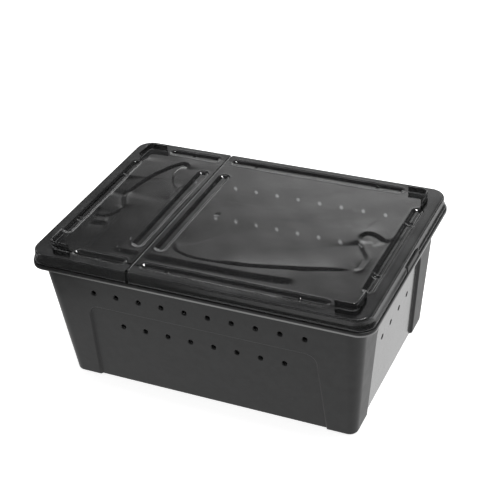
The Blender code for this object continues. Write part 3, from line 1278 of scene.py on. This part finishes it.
    def locator(self, side_y: int) -> Object:
        """Makes one stacking locator: a thin upright angle with a round corner and soft edges.

        Args:
            side_y: Sign of the side that it stands on.

        Returns:
            The locator.
        """
        half, thick = self.sizes.plateau_half, self.locator_wall
        outer = (half[0] - self.locator_inset[0], half[1] - self.locator_inset[1])
        top = self.sizes.plateau_z + self.locator_height
        sections = []
        for shrink, z in ((0, self.sizes.plateau_z - self.sizes.sheet / 2), (0, top - 0.0003),
                          (0.00008, top - 0.0001), (0.0003, top)):
            section = []
            for inset in (shrink, thick - shrink):
                radius = self.locator_radius - inset
                face = [(outer[0] - self.locator_reach[0] + shrink, outer[1] - inset)]
                for angle in np.linspace(math.pi / 2, 0, 11):
                    face.append((outer[0] - self.locator_radius + radius * math.cos(angle),
                                 outer[1] - self.locator_radius + radius * math.sin(angle)))
                face.append((outer[0] - inset, outer[1] - self.locator_reach[1] + shrink))
                section += face if inset == shrink else list(reversed(face))
            sections.append([(self.side * px, side_y * py, z) for px, py in section])
        return loft(f"{self.name}_locator", sections)

    def shade_border(self, sheet: Object) -> None:
        """Gives the flat border outside the grooves the rough finish, whose darker dye and weaker reflection
        are painted shade.

        Args:
            sheet: The panel, with its materials.
        """
        limit = (self.sizes.plateau_half[0] - self.groove_inset_ends,
                 self.sizes.plateau_half[1] - self.groove_inset_sides)
        for face in sheet.data.polygons:
            x, y, z = face.center
            outside = abs(x) > limit[0] or abs(y) > limit[1]
            level = abs(z - self.sizes.plateau_z) < self.border_reach
            # The border gets the rough finish; its darker dye and weaker reflection are painted shade over
            # the rim.
            if outside and level and face.normal.z > FACING:
                face.material_index = Sheen.MATT.value

    def build(self) -> Object:
        """Makes the panel.

        Returns:
            The finished piece.
        """
        sheet = self.sheet()
        locators = [self.locator(side_y) for side_y in (-1, 1)]
        for locator in locators:
            carve(sheet, locator, "UNION", "MANIFOLD")
        settled(sheet, *locators)
        dress(sheet, [self.finishes[sheen] for sheen in Sheen], sharp=40)
        self.shade_border(sheet)
        body = "lid_main" if self.panel is Panel.MAIN else "lid_flap"
        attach(sheet, body)
        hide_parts(body)
        return sheet


@dataclass
class HingeWeb:
    """The thin web between the panels, dished along its middle where it bends."""

    sizes: CaseSizes
    finish: Material
    gap: float = 0.0003
    thickness: float = 0.0004
    dish: float = 0.00016
    reach: float = 0.0840
    rows: int = 85
    columns: int = 9

    def build(self) -> Object:
        """Makes the web.

        Returns:
            The finished piece.
        """
        half = self.sizes.fold_slot / 2 - self.gap
        top = self.sizes.plateau_z
        sections = []
        for y in np.linspace(-self.reach, self.reach, self.rows):
            across = np.linspace(-half, half, self.columns)
            sag = self.dish * np.cos(across / half * math.pi / 2)
            upper = [(self.sizes.fold_x + x, y, top - drop) for x, drop in zip(across, sag)]
            lower = [(self.sizes.fold_x + x, y, top - self.thickness) for x in reversed(across)]
            sections.append(lower + upper)
        web = loft("lid_hinge_web", sections)
        dress(web, [self.finish], sharp=40)
        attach(web, "lid_main")
        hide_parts("hinge_web")
        return web


@dataclass
class Studio:
    """A pale floor with a painted pool of light round the object seen in reflections, a pale backdrop and
    one soft lamp.
    """

    floor_size: float = 3.0
    floor_drop: float = 0.0002
    floor_glow: float = 0.72
    floor_grey: float = 0.80
    # Painted pool of light on the floor, seen only in reflections: its centre, fade and glow, and the dark
    # floor colour there.
    mirror_centre: tuple[float, float] = (0.08, 0.06)
    mirror_fade: tuple[float, float] = (0.29, 0.37)
    mirror_glow: tuple[float, float] = (0.74, 0.68)
    mirror_grey: float = 0.02
    band: tuple[float, float] = (0.66, 0.44)
    band_level: float = 1.65
    gap_turn: tuple[float, float] = (-0.10, 0.12)
    gap_height: tuple[float, float] = (0.38, 0.52)
    left_turn: tuple[float, float] = (-0.60, -0.33)
    left_level: tuple[float, float] = (0.08, 1.08)
    low_height: tuple[float, float] = (0.41, 0.33)
    low_level: float = 1.10
    right_turn: tuple[float, float] = (0.0, 0.5)
    right_loss: float = 0.5
    horizon: tuple[float, float] = (0.26, 0.10)
    horizon_loss: float = 0.93
    back_turn: tuple[float, float] = (-0.3, 0.3)
    back_level: tuple[float, float] = (0.35, 0.65)
    ceiling: float = 0.015
    ambient: tuple[float, float] = (0.45, 0.25)
    lamp_place: tuple[float, float, float] = (0.32, 0.14, 1.35)
    lamp_aim: tuple[float, float, float] = (0.0, 0.0, 0.08)
    lamp_size: float = 0.48
    lamp_power: float = 14.0

    def rays(self, graph: Graph) -> tuple[Value, Value]:
        """Tells the rays apart.

        Args:
            graph: The graph that uses the masks.

        Returns:
            Masks of the rays that see the background plainly, and of the glossy ones.
        """
        path = graph.add("ShaderNodeLightPath")
        seen = graph.value(path, "Is Camera Ray").maths("MAXIMUM", graph.value(path, "Is Transmission Ray"))
        return seen, graph.value(path, "Is Glossy Ray")

    def floor(self) -> Object:
        """Makes the floor: white where it is seen, and in reflections a dark sheet with a painted pool of
        light round the object.

        Returns:
            The floor, which isn't part of the object.
        """
        mesh = bmesh.new()
        bmesh.ops.create_grid(mesh, x_segments=24, y_segments=24, size=self.floor_size)
        for vertex in mesh.verts:
            vertex.co.z = -self.floor_drop
        item = link("studio_floor", mesh)
        material, graph = new_material("pale_floor")
        place = graph.place()
        seen, glossy = self.rays(graph)
        split = graph.add("ShaderNodeSeparateXYZ", {}, {0: place})
        x, y = graph.value(split, 0), graph.value(split, 1)
        # Painted pool of light: in reflections the floor glows brightest round the centre and dims further
        # out.
        near_x, near_y = x - self.mirror_centre[0], y - self.mirror_centre[1]
        far = (near_x * near_x + near_y * near_y).maths("SQRT").smooth(*self.mirror_fade)
        near, loss = self.mirror_glow
        strength = seen * self.floor_glow + glossy * (near - far * loss)
        # In reflections the floor's own colour is nearly black, so the painted glow is what shows.
        tone = graph.mix_colour(glossy, colour(self.floor_grey), colour(self.mirror_grey))
        paper = graph.add("ShaderNodeBsdfDiffuse", {}, {"Color": tone})
        glow = graph.add("ShaderNodeEmission", {}, {"Strength": strength})
        both = graph.add("ShaderNodeAddShader", {}, {0: paper.outputs[0], 1: glow.outputs[0]})
        graph.add("ShaderNodeOutputMaterial", {}, {"Surface": both.outputs[0]})
        dress(item, [material], sharp=30)
        return item

    def world(self) -> None:
        """Sets the backdrop: white where it is seen, and a bright band at the back under a dim ceiling."""
        world = bpy.data.worlds.new("studio")
        bpy.context.scene.world = world
        world.use_nodes = True
        graph = Graph(world.node_tree)
        seen, glossy = self.rays(graph)
        direction = graph.add("ShaderNodeTexCoord").outputs["Generated"]
        split = graph.add("ShaderNodeSeparateXYZ", {}, {0: direction})
        x, y, z = (graph.value(split, index) for index in range(3))
        flat = (x * x + y * y).maths("SQRT").maths("MAXIMUM", 0.001)
        turn = x / flat
        band = z.smooth(*self.band) * (1.0 - turn.smooth(*self.gap_turn) * z.smooth(*self.gap_height))
        leftward = self.left_level[0] + turn.smooth(*self.left_turn) * self.left_level[1]
        low = z.smooth(*self.low_height)
        rightward = 1.0 - turn.smooth(*self.right_turn) * self.right_loss
        sideways = (leftward + low * (self.low_level - leftward)) * rightward
        behind = self.back_level[0] + (y / flat).smooth(*self.back_turn) * self.back_level[1]
        horizon = 1.0 - z.smooth(*self.horizon) * self.horizon_loss
        bright = self.ceiling + band * sideways * horizon * self.band_level * behind
        around = self.ambient[0] + z.smooth(0.0, 1.0) * self.ambient[1]
        mirrored = glossy * bright + (1.0 - glossy) * around
        strength = seen + (1.0 - seen) * mirrored
        sky = graph.add("ShaderNodeBackground", {}, {"Color": colour(1.0), "Strength": strength})
        graph.add("ShaderNodeOutputWorld", {}, {"Surface": sky.outputs[0]})

    def lamp(self) -> None:
        """Adds the square area lamp."""
        data = bpy.data.lights.new("key_lamp", "AREA")
        data.size = self.lamp_size
        data.energy = self.lamp_power
        item = bpy.data.objects.new("key_lamp", data)
        item.location = self.lamp_place
        way = Vector(self.lamp_aim) - Vector(self.lamp_place)
        item.rotation_euler = way.to_track_quat("-Z", "Y").to_euler()
        bpy.context.scene.collection.objects.link(item)

    def build(self) -> None:
        """Makes the floor, the backdrop and the lamp."""
        self.floor()
        self.world()
        self.lamp()
        bpy.context.scene.view_settings.view_transform = "Standard"


@dataclass(frozen=True)
class PhotoCamera:
    """The camera of the photograph."""

    place: tuple[float, float, float] = (0.350032, -0.687325, 0.589545)
    azimuth: float = 25.580
    elevation: float = 32.844
    roll: float = 3.737
    lens: float = 90.27
    shift: tuple[float, float] = (-0.04, -0.02)

    def build(self) -> Object:
        """Makes the camera and looks through it.

        Returns:
            The camera.
        """
        turn, tilt, roll = (math.radians(angle) for angle in (self.azimuth, self.elevation, self.roll))
        ahead = Vector((-math.sin(turn) * math.cos(tilt), math.cos(turn) * math.cos(tilt), -math.sin(tilt)))
        level = Vector((math.cos(turn), math.sin(turn), 0))
        down = ahead.cross(level)
        right = level * math.cos(roll) + down * math.sin(roll)
        up = -(down * math.cos(roll) - level * math.sin(roll))
        data = bpy.data.cameras.new("photo_camera")
        data.lens = self.lens
        data.shift_x, data.shift_y = self.shift
        data.clip_start, data.clip_end = 0.01, 20.0
        camera = bpy.data.objects.new("photo_camera", data)
        basis = Matrix((right, up, -ahead)).transposed()
        camera.matrix_world = Matrix.Translation(self.place) @ basis.to_4x4()
        bpy.context.scene.collection.objects.link(camera)
        bpy.context.scene.camera = camera
        return camera


MAIN_MARKS = (
    FlowMark(((-50, -64), (-20, -64), (5, -63.5), (30, -62.8), (50, -61.5), (68, -60)),
             0.00055, 0.0075, 0.016, 0.012),
    FlowMark(((-34, -40), (-30, -49), (-22, -53.5), (-9, -55.5), (20, -54), (35, -51.5), (58, -46),
              (78, -40.5), (97, -34)), 0.00026, 0.0016, 0.013, 0.010),
    FlowMark(((2, -55), (20, -54), (35, -51.5), (58, -46), (78, -40.5), (94, -35)),
             0.00064, 0.0060, 0.009, 0.018, 0.0),
    FlowMark(((97, -34), (101, -32), (102, -27), (101.6, -18), (96, -9.5), (92, -3.3), (89, 3)),
             -0.00040, 0.0042, 0.0022, 0.005),
    FlowMark(((92, -3.3), (89, 3), (88.8, 8.5), (91.3, 12), (96, 12.3), (102, 9.5), (109, 4)),
             0.00065, 0.0042, 0.009, 0.005),
    FlowMark(((70, 40), (74, 28), (80, 16)), 0.00006, 0.004, 0.006),
    FlowMark(((88, 14), (90, 24), (93, 33)), 0.00006, 0.003, 0.006),
)
FLAP_MARKS = (
    FlowMark(((-109, -26), (-103, -27), (-97, -24.5), (-93, -16), (-94.5, -7)),
             0.00045, 0.0034, 0.004, 0.005),
    FlowMark(((-93, -14), (-95, -6), (-99.3, 2), (-99.5, 12)), -0.00034, 0.0036, 0.0020, 0.005),
    FlowMark(((-100, 3), (-98.8, 14), (-96.5, 26), (-92, 41), (-84.5, 55.5), (-79, 61.5), (-74, 59),
              (-72, 53)), 0.00080, 0.0042, 0.013, 0.008),
    FlowMark(((-113.2, 64), (-113.2, 46), (-113, 32), (-111, 24)), 0.00110, 0.0030, 0.010, 0.008, 0.0),
    FlowMark(((-113.2, 6), (-113.2, -9), (-112.8, -23)), 0.00085, 0.0030, 0.0065, 0.006, 0.0),
    FlowMark(((-106, -37), (-99.5, -36.3), (-93, -34.5)), 0.00045, 0.0065, 0.005, 0.003),
    FlowMark(((-65, 8), (-65.2, 20), (-64.8, 33)), 0.00028, 0.003, 0.005),
    FlowMark(((-51.6, -12), (-51.8, 4), (-51.6, 20)), 0.00022, 0.0022, 0.004),
    FlowMark(((-71, -63.5), (-61, -63.7), (-51, -63.7)), 0.00040, 0.0055, 0.008, 0.003),
)


def main() -> None:
    """Builds the camera, the studio and the pieces in order."""
    logging.basicConfig(level=logging.INFO, format="%(message)s")
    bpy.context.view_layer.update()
    sizes = CaseSizes()
    PhotoCamera().build()
    Studio().build()
    grained = BlackPlastic()
    # The same black plastic with far higher reflection: a painted reflection that brightens the end panels
    # and the lip's foot.
    pressed = BlackPlastic(name="pressed_plastic", ior=2.1, coat=1.0, coat_ior=2.0,
                           roughness=0.24, roughness_spread=0.08)
    smoked = SmokedPlastic().make()
    # Rough copy of the smoked plastic for the border: the roughness is real, the darker dye and low IOR are
    # painted shade.
    matt_and_shade = SmokedPlastic(name="smoked_plastic_matt", thick=0.03, thin=0.05, haze=0.0, ior=1.25,
                         roughness=0.15, ripple_scale=300.0, ripple_depth=0.000003).make()
    finishes = {Sheen.GLOSS: smoked, Sheen.MATT: matt_and_shade}
    pieces: list[Callable[[], Object]] = [
        Tub(sizes, grained, pressed).build,
        LidPanel(Panel.MAIN, sizes, finishes, Relief(MAIN_MARKS), gate=(-0.0208, 0.0016)).build,
        LidPanel(Panel.FLAP, sizes, finishes, Relief(FLAP_MARKS)).build,
        HingeWeb(sizes, smoked).build,
    ]
    for build in pieces:
        piece = build()
        LOG.info("%s: %d faces", piece.name, len(piece.data.polygons))


if __name__ == "__main__":
    main()
